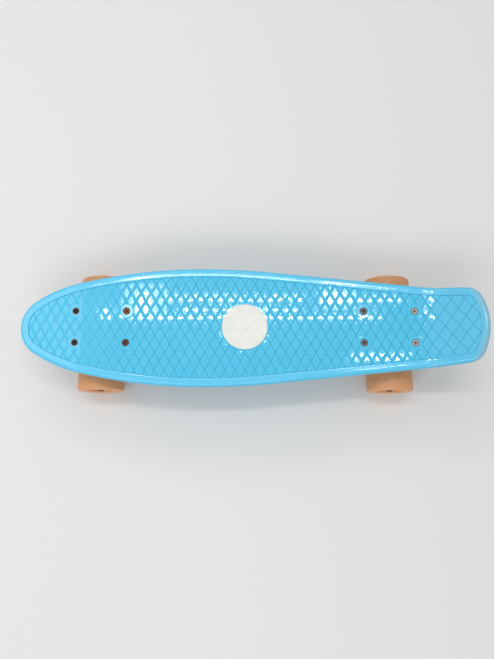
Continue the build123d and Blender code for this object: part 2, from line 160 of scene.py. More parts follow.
def blend_colours(tree, share, first, second):
    """The first colour where share is 0 and the second where it is 1."""
    mix = node(tree, "ShaderNodeMix", data_type="RGBA")
    sockets = [socket for socket in mix.inputs if socket.enabled]
    for socket, value in zip(sockets, (share, first, second)):
        feed(tree, socket, value)
    return mix.outputs["Result"]


def tint(tree, shader, share, first, second):
    """Let the base colour run from the first colour to the second as share runs from 0 to 1."""
    feed(tree, shader.inputs["Base Color"], blend_colours(tree, share, first, second))


def roughen(tree, shader, value, low, high):
    """Let the roughness run from low to high with a noise."""
    feed(tree, shader.inputs["Roughness"], ranged(tree, value, *noise_span, low, high))


def emboss(tree, shader, height, depth):
    """Fine relief, at full strength, from a height pattern of the given depth in metres."""
    bump = node(tree, "ShaderNodeBump", 1.0, depth)
    feed(tree, bump.inputs["Height"], height)
    feed(tree, shader.inputs["Normal"], bump.outputs["Normal"])


def paint(slot, material):
    """Give every solid piece that belongs to a slot of the record its finish."""
    painted = []
    for name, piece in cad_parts.items():
        if piece.material_slots[0].material.name.split(".")[0] == slot:
            painted.append(name)
    for name in painted:
        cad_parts[name].material_slots[0].material = material
    print(slot, "->", ", ".join(painted))


# %% [markdown]
# The deck is moulded from sky blue plastic that is coloured all through. One flat colour would do for a new
# board, but this one is used: feet have faded it in soft patches, hands have left the rim paler, and dirt
# and painted shade darken the grooves. So the colour is laid on in layers, each let through by a mask. Two
# masks are attributes that the rim and the tread store on their own points further down: handled and groove.

# %% Deck colour
sky_blue = (0.070, 0.556, 0.842, 1.0)
sky_blue_worn = (0.084, 0.568, 0.847, 1.0)
rim_blue = (0.112, 0.605, 0.905, 1.0)
groove_dirt_and_shade_teal = (0.022, 0.405, 0.625, 1.0)
dirt_and_shade_start = 0.15  # of the groove mask, from where the dirt and painted shade show
polish = (0.03, 0.055)  # roughness of the clean plastic

deck_plastic, tree, shader, place = finish("deck_plastic_finish", polish[0], IOR=1.5)
handled = node(tree, "ShaderNodeAttribute", attribute_name="handled").outputs["Fac"]
groove = node(tree, "ShaderNodeAttribute", attribute_name="groove").outputs["Fac"]
blue = blend_colours(tree, patches(tree, place, grains=14.0, detail=4.0), sky_blue, sky_blue_worn)
blue = blend_colours(tree, handled, blue, rim_blue)
# Dirt and painted shade darken the grooves to teal.
blue = blend_colours(tree, ranged(tree, groove, dirt_and_shade_start, 1.0, 0.0, 1.0), blue, groove_dirt_and_shade_teal)
print(deck_plastic.name, "nodes after the blues:", len(tree.nodes))

# %% [markdown]
# The tail is stamped on the ground to stop or turn, so its round end is scraped pale, and shoes have
# scuffed the rest of it. A straight band of colour would miss the corners. This band follows the big arc of
# the end, because it is measured from the middle of that arc. Noise that is drawn out across the board
# breaks it up into scratches.

# %% Scraped tail
scraped_pale = (0.36, 0.46, 0.52, 1.0)
tail_tip = cad_box[1].x, 0.0, cad_box[1].z
tail_length = 64.2 * mm  # from the crease to the tip
tail_end_radius = 88.0 * mm  # of the big arc of the round end
crease_x = tail_tip[0] - tail_length
crease_blur = 20.0 * mm
scrape_width = 14.0 * mm
scratch_stretch = (1.0, 0.25, 1.0)
scrape_span = (0.12, 0.55)  # of the broken band, over which the pale colour comes in
scrape_share = 0.75  # of the pale colour, where it is scraped most
scuff_share = 0.09  # of the pale colour, all over the tail

tail_middle = (tail_tip[0] - tail_end_radius, tail_tip[1], tail_tip[2])
from_middle = distance(tree, place, tail_middle)
near_end = ranged(tree, from_middle, tail_end_radius - scrape_width, tail_end_radius, 0.0, 1.0)
along = node(tree, "ShaderNodeSeparateXYZ", place).outputs["X"]
on_tail = ranged(tree, along, crease_x - crease_blur, crease_x + crease_blur, 0.0, 1.0)
scratches = noise(tree, place, grains=60.0, detail=5.0, stretch=scratch_stretch)
broken_band = maths(tree, "MULTIPLY", maths(tree, "MULTIPLY", near_end, on_tail), scratches)
scraped = ranged(tree, broken_band, *scrape_span, 0.0, scrape_share)
blue = blend_colours(tree, maths(tree, "MULTIPLY", on_tail, scuff_share), blue, scraped_pale)
tint(tree, shader, scraped, blue, scraped_pale)
print("crease at", round(crease_x / mm, 1), "mm, scraped band", scrape_width / mm, "mm wide")

# %% [markdown]
# The mould was polished, so the deck mirrors each lamp as a small hard glint. Handling has hazed the rim,
# and dirt and scrapes have taken the gloss away, also on the shoulders of the grooves. The plastic shrank
# unevenly as it cooled. That waviness is far too slight to model, but it bends the mirror images, so it
# goes into a bump together with the fine grain of the mould.

# %% Deck gloss
handled_haze = 0.05  # roughness that hands and shoes add to the rim
dull_roughness = 0.5
dust_span = (0.02, 0.12)  # of the groove mask, over which the gloss goes
waviness = 0.02 * mm
mould_grain = 0.002 * mm

gloss = ranged(tree, noise(tree, place, grains=45.0, detail=4.0), *noise_span, *polish)
gloss = maths(tree, "MULTIPLY_ADD", handled, handled_haze, gloss)
dulled = maths(tree, "MAXIMUM", ranged(tree, groove, *dust_span, 0.0, 1.0), scraped)
feed(tree, shader.inputs["Roughness"], ranged(tree, dulled, 0.0, 1.0, gloss, dull_roughness))
fine = maths(tree, "MULTIPLY", noise(tree, place, grains=900.0, detail=2.0), mould_grain)
relief = maths(tree, "MULTIPLY_ADD", noise(tree, place, grains=28.0, detail=1.0), waviness, fine)
emboss(tree, shader, relief, depth=1.0)  # the relief is in metres already
paint("deck_plastic", deck_plastic)

# %% [markdown]
# Two rules place everything on the deck. The first is its outline, seen from above: a tight nose, a
# shoulder, a long flank, a waist that narrows, and a tail with round corners. A traced curve would wobble.
# A designer draws such an edge as a chain of arcs, each leaving in the direction in which the last one
# ends. A few radii are given, and the turns between them follow from the places that the arcs have to meet.

# %% Arcs of the outline
nose_radius = 38.0 * mm
nose_turn = math.radians(56.0)
shoulder_reach = 32.5 * mm
widest_x = -60.0 * mm
waist_radius = 860.0 * mm
tail_width = 91.0 * mm
tail_corner_radius = 20.0 * mm

deck_low, deck_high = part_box("deck")
half_length = (deck_high.x - deck_low.x) / 2
half_width = (deck_high.y - deck_low.y) / 2


def unit(angle):
    """The direction at an angle, seen from above."""
    return np.array([math.cos(angle), math.sin(angle)])


def outline_runs():
    """The right half, nose to tail, as (radius, turn) of each arc, or (0, length) where it is straight."""
    nose_end = np.array([deck_low.x + nose_radius, 0.0]) + nose_radius * unit(math.pi - nose_turn)
    leave = unit(math.pi / 2 - nose_turn)
    span = np.array([widest_x, half_width]) - nose_end
    flank_reach = (span @ span - 2 * shoulder_reach * span @ leave) / 2
    flank_reach /= span[0] + shoulder_reach * (1 - leave[0])
    bend = span - leave * shoulder_reach - np.array([flank_reach, 0.0])
    flank_turn = math.atan2(bend[1], bend[0])
    shoulder_turn = math.pi / 2 - nose_turn - flank_turn
    tail_centre = np.array([deck_high.x - tail_end_radius, 0.0])
    corner_x = math.sqrt(tail_end_radius**2 - tail_width**2 / 4)
    waist_centre = np.array([widest_x, half_width - waist_radius])
    run = tail_centre + np.array([corner_x, tail_width / 2]) - waist_centre
    waist_end = math.atan2(run[1], run[0]) + math.acos(waist_radius / np.hypot(*run))
    onward = unit(waist_end - math.pi / 2)
    start = waist_centre + (waist_radius - tail_corner_radius) * unit(waist_end) - tail_centre
    reach = tail_end_radius - tail_corner_radius
    length = math.sqrt((start @ onward) ** 2 - start @ start + reach**2) - start @ onward
    corner_centre = start + onward * length
    tail_turn = math.atan2(corner_centre[1], corner_centre[0])
    return [
        (nose_radius, nose_turn),
        (shoulder_reach / math.tan(shoulder_turn / 2), shoulder_turn),
        (flank_reach / math.tan(flank_turn / 2), flank_turn),
        (waist_radius, math.pi / 2 - waist_end),
        (0.0, length),
        (tail_corner_radius, waist_end - tail_turn),
        (tail_end_radius, tail_turn),
    ]


print("runs from nose to tail:", len(outline_runs()))

# %% [markdown]
# The chain can be walked at any spacing, and each point comes with the exact direction that leads out of
# the deck there, which the edge of a mesh could only guess from its neighbours. The left half is the right
# one, flipped.

# %% Walk the outline
edge_step = 1.0 * mm


def deck_outline(step):
    """Points round the whole edge, about a step apart, and the direction that leads out at each."""
    spot, angle = np.array([deck_low.x, 0.0]), math.pi
    spots, ways = [], []
    for radius, amount in outline_runs():
        count = math.ceil((radius * amount if radius else amount) / step)
        for share in np.linspace(0.0, amount, count + 1):
            turned = angle - share if radius else angle
            shift = radius * (unit(turned) - unit(angle)) if radius else share * unit(angle - math.pi / 2)
            spots.append(spot + shift)
            ways.append(unit(turned))
        spot, angle = spots.pop(), turned
        ways.pop()
    flip = np.array([1.0, -1.0])
    spots, ways = np.array(spots + [spot]), np.array(ways + [unit(angle)])
    return np.concatenate([spots, spots[-2:0:-1] * flip]), np.concatenate([ways, ways[-2:0:-1] * flip])


edge_spots, edge_ways = deck_outline(edge_step)
print("outline points:", len(edge_spots), " tail tip at", edge_spots[len(edge_spots) // 2] / mm, "mm")

# %% [markdown]
# The second rule is the ride line, seen from the side: flat in the middle, dipped at the nose and kicked up
# at the tail. It could be read off the solid deck point by point. Two arcs and a straight run say the same
# with four numbers, and they give the slope too, which makes relief stand square to the surface.

# %% Ride line
ride_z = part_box("deck_sticker")[0].z
droop_length = 53.2 * mm
droop_radius = 280.0 * mm
kick_angle = math.radians(26.0)
kick_radius = 45.0 * mm
droop_x = deck_low.x + droop_length
kick_x = crease_x - kick_radius * math.tan(kick_angle / 2)


def ride_line(x):
    """Height and slope of the deck's upper side along the board."""
    dip = np.clip(droop_x - x, 0, None)
    kick_run = kick_radius * math.sin(kick_angle)
    kick = np.clip(x - kick_x, 0, kick_run)
    beyond = np.clip(x - kick_x - kick_run, 0, None)
    height = ride_z - droop_radius + np.sqrt(droop_radius**2 - dip**2)
    height += kick_radius - np.sqrt(kick_radius**2 - kick**2) + beyond * math.tan(kick_angle)
    slope = dip / np.sqrt(droop_radius**2 - dip**2) + kick / np.sqrt(kick_radius**2 - kick**2)
    return height, slope


ride_heights = ride_line(np.array([deck_low.x, 0.0, deck_high.x]))[0]
print("ride line at nose, middle and tail:", ride_heights / mm, "mm")

# %% [markdown]
# The rim is a smooth roll round the deck, a little crowned, so that a lamp overhead draws one long bright
# line on it. The solid deck has the same rim with a flat top. Smoothing that solid would blur its corners,
# so a thin skin with the crown is drawn round it: one section, from the outer wall over the rounded edge
# and the crown to the inner wall, is walked along the outline. Where the tail rises, the rounded edge leans
# with it.

# %% Rim section
rim_width = 10.5 * mm
rim_rise = 0.8 * mm
rim_round = 4.5 * mm
rim_inner_round = 0.3 * mm
rim_inner_turns = np.radians([30.0, 60.0, 90.0])
rim_ledge = 0.12 * mm  # that the skin stands past the inner wall of the solid rim
rim_crown = 0.15 * mm
rim_skirt = 1.0 * mm
rim_root = 0.35 * mm  # of the inner wall below the ride line
skin_lift = 0.06 * mm
round_steps = 10
crown_steps = 9


def rim_row(inward, share):
    """The skin's points at a distance in from the edge; share runs from 0 on the wall to 1 on the top."""
    reach = np.where(share < 1.0, inward - skin_lift * (1.0 - share), inward)
    spots = edge_spots - edge_ways * reach[:, None]
    height, slope = ride_line(spots[:, 0])
    lean = slope * edge_ways[:, 0]
    hub = lean * rim_round + rim_round * np.sqrt(1 + lean**2)
    drop = hub - lean * inward - np.sqrt(np.clip(rim_round**2 - (inward - rim_round) ** 2, 0, None))
    drop = np.where(share < 1.0, np.clip(drop, 0, None) * np.sqrt(1 + (slope * edge_ways[:, 1]) ** 2), 0.0)
    crown = rim_crown * (1 - (2 * inward / rim_width - 1) ** 2)
    lift = rim_rise + skin_lift * share + crown
    return np.column_stack([spots, height + lift * np.sqrt(1 + slope**2) - drop])


def rim_rows():
    """Every row of the section, from the foot of the outer skirt to the foot of the inner wall."""
    lean = ride_line(edge_spots[:, 0])[1] * edge_ways[:, 0]
    round_end = rim_round * (1 + lean / np.sqrt(1 + lean**2))
    rows = []
    for share in np.linspace(0.0, 1.0, round_steps + 1):
        rows.append(rim_row(round_end * (1 - math.cos(share * math.pi / 2)), share))
    rows.insert(0, rows[0] - np.array([0.0, 0.0, rim_skirt]))
    top_end = rim_width + rim_ledge - rim_inner_round
    for share in np.linspace(0.0, 1.0, crown_steps + 1)[1:]:
        rows.append(rim_row(round_end + (top_end - round_end) * share, 1.0))
    for turn in rim_inner_turns:
        row = rim_row(np.full(len(edge_spots), top_end + rim_inner_round * math.sin(turn)), 1.0)
        rows.append(row - np.array([0.0, 0.0, rim_inner_round * (1 - math.cos(turn))]))
    foot = rows[-1].copy()
    foot[:, 2] = ride_line(foot[:, 0])[0] - rim_root
    return rows + [foot]


rows = rim_rows()
print("rim rows:", len(rows), " points in each:", len(edge_spots))

# %% [markdown]
# Neighbouring rows are joined by quads, and a Solidify modifier closes the skin with a thin wall below.
# Each point also keeps the mask that the deck's colour asked for: 0 on the outer wall, rising to 1 over the
# rounded edge, where hands and shoes reach, and 0 again on the tail, which has its own wear.

# %% Rim skin
skin_wall = 0.5 * mm


def deck_skin(name, points, quads):
    """A thin skin that rides on the deck, closed by a wall below."""
    mesh = bpy.data.meshes.new(name)
    mesh.from_pydata(points.tolist(), [], quads.tolist())
    mesh.polygons.foreach_set("use_smooth", [True] * len(quads))
    mesh.materials.append(deck_plastic)
    skin = bpy.data.objects.new(name, mesh)
    scene.collection.objects.link(skin)
    wall = skin.modifiers.new("wall", "SOLIDIFY")
    wall.thickness = skin_wall
    wall.offset = -1.0
    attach(skin, "deck")
    print(name, "faces:", len(quads), " highest:", round(points[:, 2].max() / mm, 2), "mm")
    return skin


def store_mask(skin, name, values):
    """Keep one number for each point of a skin, for its finish to read."""
    skin.data.attributes.new(name, "FLOAT", "POINT").data.foreach_set("value", values)


here = np.arange(len(edge_spots))
after = np.roll(here, -1)
strip = np.column_stack([here, here + len(here), after + len(here), after])
rim_quads = np.concatenate([strip + index * len(here) for index in range(len(rows) - 1)])
deck_rim = deck_skin("deck_rim", np.concatenate(rows), rim_quads)
up_the_edge = np.clip((np.arange(len(rows)) - 1) / round_steps, 0, 1)
before_tail = np.clip((crease_x - edge_spots[:, 0]) / crease_blur + 1, 0, 1)
store_mask(deck_rim, "handled", np.outer(up_the_edge, before_tail).ravel())

# %% [markdown]
# A Geometry Nodes tree is a small machine: sizes go in by name, and a mesh comes out. Here each tree is
# written as formulas, run on an empty mesh, and its result is kept as a plain mesh, so that nothing is left
# to be worked out when the board is posed or exported.

# %% Helpers for Geometry Nodes
def new_tree(name, inputs):
    """An empty Geometry Nodes tree with named number inputs and one mesh output."""
    tree = bpy.data.node_groups.new(name, "GeometryNodeTree")
    for label in inputs:
        tree.interface.new_socket(label, in_out="INPUT", socket_type="NodeSocketFloat")
    tree.interface.new_socket("Mesh", in_out="OUTPUT", socket_type="NodeSocketGeometry")
    return tree, node(tree, "NodeGroupInput").outputs


def end_tree(tree, mesh, material):
    """Smooth the mesh, make its instances real, dress it and hand it out."""
    smooth = node(tree, "GeometryNodeSetShadeSmooth", mesh).outputs[0]
    real = node(tree, "GeometryNodeRealizeInstances", smooth).outputs[0]
    node(tree, "NodeGroupOutput", node(tree, "GeometryNodeSetMaterial", real, None, material).outputs[0])


def grown(name, tree, **sizes):
    """Run a tree on an empty mesh and return its result as a plain mesh."""
    holder = bpy.data.objects.new(name, bpy.data.meshes.new(name + "_start"))
    scene.collection.objects.link(holder)
    modifier = holder.modifiers.new(name, "NODES")
    modifier.node_group = tree
    for socket in tree.interface.items_tree:
        if socket.in_out == "INPUT":
            modifier[socket.identifier] = sizes[socket.name.replace(" ", "_").lower()]
    evaluated = holder.evaluated_get(bpy.context.evaluated_depsgraph_get())
    mesh = bpy.data.meshes.new_from_object(evaluated)
    mesh.name = name
    bpy.data.objects.remove(holder)
    return mesh


# %% [markdown]
# The waffle tread is two families of straight grooves, each leaning 60 degrees to the board's length, that
# leave rows of diamonds standing. On the real mould they are milled, and each diamond comes out with a
# slightly crowned top, which catches the lamps one glint at a time. A bump map could fake it, but the
# outline of a groove at a low view would stay flat. So a Geometry Nodes tree makes the relief: a square
# grid, one square to a diamond, is skewed until its lines lie along the grooves, and a height is worked out
# from the distance to the nearest groove.

# %% Tread tree
steps_per_diamond = 8
line_crowding = 0.6  # how far the grid's lines are drawn towards the grooves in each round
crowding_rounds = 2
dust_and_shade_reach = 2.0  # how many half widths of a groove the dirt and painted shade spread from its middle


def crowded(tree, value):
    """A lattice coordinate whose steps gather near the whole numbers, where the grooves run."""
    for _ in range(crowding_rounds):
        wave = maths(tree, "SINE", maths(tree, "MULTIPLY", value, 2 * math.pi))
        value = maths(tree, "MULTIPLY_ADD", wave, -line_crowding / (2 * math.pi), value)
    return value


def tread_tree(cells, material):
    """Diamonds between two families of grooves, on a flat sheet."""
    labels = ["Pitch", "Row spacing", "Groove spacing", "Groove width", "Groove sink", "Crown"]
    labels += ["Crease", "Tail stretch"]
    tree, given = new_tree("waffle_tread", labels)
    count = cells * steps_per_diamond + 1
    grid = node(tree, "GeometryNodeMeshGrid", cells, cells, count, count).outputs["Mesh"]
    square = node(tree, "ShaderNodeSeparateXYZ", node(tree, "GeometryNodeInputPosition").outputs[0])
    first, second = [crowded(tree, square.outputs[axis]) for axis in ("X", "Y")]

    # The skew, with a longer pitch past the crease.
    half_pitch = maths(tree, "DIVIDE", given["Pitch"], 2.0)
    x = maths(tree, "MULTIPLY", maths(tree, "ADD", first, second), half_pitch)
    beyond = maths(tree, "MAXIMUM", maths(tree, "SUBTRACT", x, given["Crease"]), 0.0)
    x = maths(tree, "MULTIPLY_ADD", beyond, given["Tail stretch"], x)
    half_row = maths(tree, "DIVIDE", given["Row spacing"], 2.0)
    y = maths(tree, "MULTIPLY", maths(tree, "SUBTRACT", second, first), half_row)

    # The height: a crown on each diamond, less the groove.
    away = [maths(tree, "PINGPONG", value, 0.5) for value in (first, second)]
    nearest = maths(tree, "MULTIPLY", maths(tree, "MINIMUM", *away), given["Groove spacing"])
    half_groove = maths(tree, "DIVIDE", given["Groove width"], 2.0)
    sunk = ranged(tree, nearest, 0.0, half_groove, 1.0, 0.0, "SMOOTHSTEP")
    domes = []
    for value in away:
        to_middle = maths(tree, "MULTIPLY_ADD", value, -2.0, 1.0)
        domes.append(maths(tree, "SUBTRACT", 1.0, maths(tree, "MULTIPLY", to_middle, to_middle)))
    crown = maths(tree, "MULTIPLY", maths(tree, "MULTIPLY", *domes), given["Crown"])
    height = maths(tree, "SUBTRACT", crown, maths(tree, "MULTIPLY", sunk, given["Groove sink"]))

    # The mask for dirt and painted shade is stored first, because it reads the places that the points move
    # away from.
    dust_and_shade_edge = maths(tree, "MULTIPLY", half_groove, dust_and_shade_reach)
    dust_and_shade = ranged(tree, nearest, 0.0, dust_and_shade_edge, 1.0, 0.0, "SMOOTHSTEP")
    marked = node(tree, "GeometryNodeStoreNamedAttribute", grid, None, "groove", dust_and_shade, data_type="FLOAT")
    skewed = node(tree, "ShaderNodeCombineXYZ", x, y, height).outputs[0]
    laid = node(tree, "GeometryNodeSetPosition", marked.outputs[0], None, skewed).outputs[0]
    end_tree(tree, laid, material)
    return tree


# %% [markdown]
# The tree is run with the sizes of this board. Along the board the diamonds are 12.5 mm apart, and 15 mm on
# the tail. The grid has as many squares as it takes to cover the deck once it is skewed.

# %% Grow the tread
tread_pitch = 12.5 * mm
tail_pitch = 15.0 * mm
groove_angle = math.radians(60.0)
grid_cells = 2 * math.ceil((half_length + half_width / math.tan(groove_angle)) / tread_pitch)
tread_mesh = grown(
    "deck_tread",
    tread_tree(grid_cells, deck_plastic),
    pitch=tread_pitch,
    row_spacing=tread_pitch * math.tan(groove_angle),
    groove_spacing=tread_pitch * math.sin(groove_angle),
    groove_width=1.4 * mm,
    groove_sink=0.32 * mm,
    crown=0.02 * mm,
    crease=crease_x,
    tail_stretch=tail_pitch / tread_pitch - 1,
)
print("tread sheet:", len(tread_mesh.polygons), "faces before trimming")

# %% [markdown]
# The sheet of diamonds is larger than the deck, as cloth is before it is cut. It ends at the rim, and it
# leaves flat pads free round the bolts and the sticker. Each border is a function that tells how far points
# lie past it and which way leads there, so the long edge and the round pads are cut alike. The places of the
# bolts are measured on the solid bolts.

# %% Borders of the tread
bolt_pad_radius = 17.0 / 2 * mm
sticker_pad_radius = 61.0 / 2 * mm
bolt_size = 12.0 * mm  # wider than a head, narrower than the gap between two
rim_gap = 0.2 * mm  # between the rim and the tread
edge_overlap = 0.1 * mm  # that the tread covers the walls of the pads
field_step = 4.0 * mm
no_length = 1e-9  # what a spoke is held above, so that it can be divided by


def field_border(points):
    """How far each point lies outside the field within the rim, and the direction that leads out."""
    spots, ways = deck_outline(field_step)
    limits = np.einsum("ij,ij->i", ways, spots) - rim_width - rim_gap
    past = points @ ways.T - limits
    side = past.argmax(axis=1)
    return past[np.arange(len(points)), side], ways[side]


def pad_border(centre, radius):
    """The same for a round pad, whose outside is its own disc."""
    def border(points):
        spokes = np.array(centre) - points
        lengths = np.maximum(np.linalg.norm(spokes, axis=1), no_length)
        return radius - edge_overlap - lengths, spokes / lengths[:, None]
    return border


def node_centres(name, size):
    """The middles, seen from above, of the solids of one node, told apart by a size wider than each."""
    centres = []
    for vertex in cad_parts[name].data.vertices:
        spot = vertex.co.to_2d()
        for group in centres:
            if (group[0] - spot).length < size:
                group.append(spot)
                break
        else:
            centres.append([spot])
    middles = []
    for group in centres:
        spots = np.array(group)
        middles.append(tuple((spots.min(axis=0) + spots.max(axis=0)) / 2))
    return middles


bolt_spots = [spot for end in ("front", "rear") for spot in node_centres(end + "_deck_bolts", bolt_size)]
sticker_low, sticker_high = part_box("deck_sticker")
sticker_spot = ((sticker_low + sticker_high) / 2).to_2d()
borders = [field_border, pad_border(sticker_spot, sticker_pad_radius)]
borders += [pad_border(spot, bolt_pad_radius) for spot in bolt_spots]
print("borders:", len(borders), " bolt heads:", len(bolt_spots))

# %% [markdown]
# A Boolean could cut the sheet, but it would leave slivers. So the sheet is trimmed by its own faces: a
# point just past a border slides back onto it, and a face that lies wholly past it goes, which leaves a
# clean edge.

# %% Trim the tread
snap_distance = 0.35 * mm


def trim(mesh, borders):
    """Cut a mesh of quads back to every border; returns its points, its quads and its mask for dirt and
    painted shade.
    """
    points = np.array([vertex.co for vertex in mesh.vertices])
    dirt_and_shade = np.array([item.value for item in mesh.attributes["groove"].data])
    quads = np.array([polygon.vertices[:] for polygon in mesh.polygons])
    for border in borders:
        past, outward = border(points[:, :2])
        quads = quads[(past[quads] < -snap_distance).any(axis=1)]
        edge_points = np.unique(quads)
        edge_points = edge_points[past[edge_points] > -snap_distance]
        points[edge_points, :2] -= past[edge_points, None] * outward[edge_points]
    used, quads = np.unique(quads, return_inverse=True)
    return points[used], quads.reshape(-1, 4), dirt_and_shade[used]


points, quads, groove_dirt_and_shade = trim(tread_mesh, borders)
print("tread faces kept:", len(quads))

# %% [markdown]
# The field isn't flat, so the trimmed sheet is bent to the ride line. A modifier could bend it, but the
# ride line is known as a formula, and its slope makes the diamonds stand square to the deck where it rises.
# Feet rarely reach the nose, so the dirt in its grooves thins out, and the painted shade with it. The tops
# of the diamonds should look flat to the lamps up to their edges, which weighted normals give.

# %% Bend the tread to the deck
clean_from, clean_to = -240.0 * mm, -150.0 * mm  # along the nose, where the dirt and painted shade thin out
clean_share = 0.45  # of the dirt and painted shade, at the tip
flat_weight = 100

groove_dirt_and_shade *= np.interp(points[:, 0], [clean_from, clean_to], [clean_share, 1.0])
heights, slopes = ride_line(points[:, 0])
points[:, 2] = heights + (points[:, 2] + skin_lift) * np.sqrt(1 + slopes**2)
deck_tread = deck_skin("deck_tread", points, quads)
deck_tread.modifiers.new("flats", "WEIGHTED_NORMAL").weight = flat_weight
store_mask(deck_tread, "groove", groove_dirt_and_shade)

# %% [markdown]
# The sticker is a plain disc of white vinyl. A flat white would look like paper, but vinyl is a soft
# plastic: years in the sun have made it a little uneven. So the white has two shades, and a grey line is
# painted along the edge.

# %% Sticker
vinyl_white = (0.80, 0.82, 0.76, 1.0)
vinyl_aged = (0.72, 0.74, 0.68, 1.0)
vinyl_edge = (0.36, 0.40, 0.41, 1.0)
aged_span = (0.4, 0.7)
edge_width = 0.7 * mm
sticker_radius = (sticker_high.x - sticker_low.x) / 2

sticker_vinyl, tree, shader, place = finish("sticker_vinyl_finish", 0.3, IOR=1.46)
aged = patches(tree, place, grains=90.0, detail=5.0, span=aged_span)
vinyl = blend_colours(tree, aged, vinyl_white, vinyl_aged)
from_sticker = distance(tree, place, (*sticker_spot, ride_z))
on_edge = ranged(tree, from_sticker, sticker_radius - edge_width, sticker_radius, 0.0, 1.0)
tint(tree, shader, on_edge, vinyl, vinyl_edge)
roughen(tree, shader, noise(tree, place, grains=160.0), low=0.24, high=0.38)
emboss(tree, shader, noise(tree, place, grains=400.0), depth=0.03 * mm)
paint("sticker_vinyl", sticker_vinyl)

# %% [markdown]
# Eight bolts hold the trucks, and no two pairs have weathered alike. They could have one material each, but
# the four of a truck are one piece. So one material finds out which bolt a point belongs to, from the
# pattern that the eight are laid out in, how far it lies from that bolt's middle, and from its height
# whether it lies in the cross recess.

# %% Find the bolts
bolt_pitch_x = 63.5 * mm
bolt_pitch_y = 40.0 * mm
recess_top = ride_z - 0.2 * mm
recess_floor = ride_z - 3.5 * mm
front_x, rear_x = [sum(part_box(end + "_deck_bolts"), Vector()).x / 2 for end in ("front", "rear")]

bolt_steel, tree, shader, place = finish("bolt_steel_finish", 0.4, Metallic=0.7)
at = node(tree, "ShaderNodeSeparateXYZ", place).outputs
is_rear = maths(tree, "GREATER_THAN", at["X"], 0.0)
truck_x = maths(tree, "MULTIPLY_ADD", is_rear, rear_x - front_x, front_x)
from_truck = maths(tree, "SUBTRACT", at["X"], truck_x)
is_tailward = maths(tree, "GREATER_THAN", from_truck, 0.0)
is_left = maths(tree, "LESS_THAN", at["Y"], 0.0)
off_x = maths(tree, "SUBTRACT", maths(tree, "ABSOLUTE", from_truck), bolt_pitch_x / 2)
off_y = maths(tree, "SUBTRACT", maths(tree, "ABSOLUTE", at["Y"]), bolt_pitch_y / 2)
squares = [maths(tree, "POWER", off, 2.0) for off in (off_x, off_y)]
from_bolt = maths(tree, "SQRT", maths(tree, "ADD", *squares))
below_top = maths(tree, "LESS_THAN", at["Z"], recess_top)
above_floor = maths(tree, "GREATER_THAN", at["Z"], recess_floor)
in_recess = maths(tree, "MULTIPLY", below_top, above_floor)
print("trucks at", round(front_x / mm, 1), "and", round(rear_x / mm, 1), "mm")

# %% [markdown]
# At the nose, the outer pair is black with a grey edge, and the inner pair has rusted, the left one to a
# duller brown. At the tail, the inner pair is dark grey steel and the outer pair a brighter grey, all four
# with a dirty edge. Every recess is painted near black: dirt and painted shade.

# %% Bolt steel
black_steel = (0.020, 0.019, 0.020, 1.0)
grey_edge_steel = (0.20, 0.20, 0.21, 1.0)
rust_brown = (0.26, 0.085, 0.030, 1.0)
rust_dull = (0.110, 0.052, 0.034, 1.0)
rust_dark = (0.055, 0.028, 0.018, 1.0)
bright_steel = (0.33, 0.315, 0.30, 1.0)
grey_steel = (0.12, 0.105, 0.10, 1.0)
dirty_steel = (0.045, 0.042, 0.040, 1.0)
recess_dirt_and_shade = (0.006, 0.006, 0.006, 1.0)
edge_start, edge_end = 3.5 * mm, 4.3 * mm  # from a bolt's middle, where its edge changes colour
edge_ragged = edge_end - edge_start

flecks = noise(tree, place, grains=600.0, detail=4.0)
ragged = maths(tree, "MULTIPLY_ADD", flecks, edge_ragged, from_bolt)
at_bolt_edge = ranged(tree, ragged, edge_start + edge_ragged / 2, edge_end + edge_ragged / 2, 0.0, 1.0)
nose_outer = blend_colours(tree, at_bolt_edge, black_steel, grey_edge_steel)
rust = blend_colours(tree, is_left, rust_brown, rust_dull)
nose_inner = blend_colours(tree, maths(tree, "MAXIMUM", at_bolt_edge, flecks), rust, rust_dark)
nose_bolts = blend_colours(tree, is_tailward, nose_outer, nose_inner)
tail_steel = blend_colours(tree, is_tailward, grey_steel, bright_steel)
tail_bolts = blend_colours(tree, at_bolt_edge, tail_steel, dirty_steel)
bolts = blend_colours(tree, is_rear, nose_bolts, tail_bolts)
# The cross recesses are painted near black: dirt and painted shade.
tint(tree, shader, in_recess, bolts, recess_dirt_and_shade)
roughen(tree, shader, noise(tree, place, grains=300.0), low=0.32, high=0.55)
emboss(tree, shader, noise(tree, place, grains=700.0, detail=4.0), depth=0.06 * mm)
paint("bolt_steel", bolt_steel)

# %% [markdown]
# Nuts, kingpins and washers are zinc plated: a cool grey metal with a faint cloudiness. Bearings are ground
# steel, which is smoother and brighter. The axles and their nuts are painted near black: painted shade. All
# three are the same kind of finish, so one function makes them from two colours and a span of roughness.

# %% Steel
zinc_grey, zinc_clouded = (0.56, 0.56, 0.57, 1.0), (0.43, 0.43, 0.45, 1.0)
bearing_bright, bearing_clouded = (0.62, 0.62, 0.63, 1.0), (0.52, 0.52, 0.54, 1.0)
# Near black, painted shade for the axles and their nuts.
shade_black, shade_clouded = (0.060, 0.058, 0.058, 1.0), (0.035, 0.034, 0.034, 1.0)


def steel_finish(name, colour, clouded, low, high):
    """Bare or plated steel: a colour, its clouded shade and the span of its roughness."""
    material, tree, shader, place = finish(name, low, Metallic=1.0)
    tint(tree, shader, patches(tree, place, grains=180.0), colour, clouded)
    roughen(tree, shader, noise(tree, place, grains=420.0, detail=4.0), low, high)
    return material


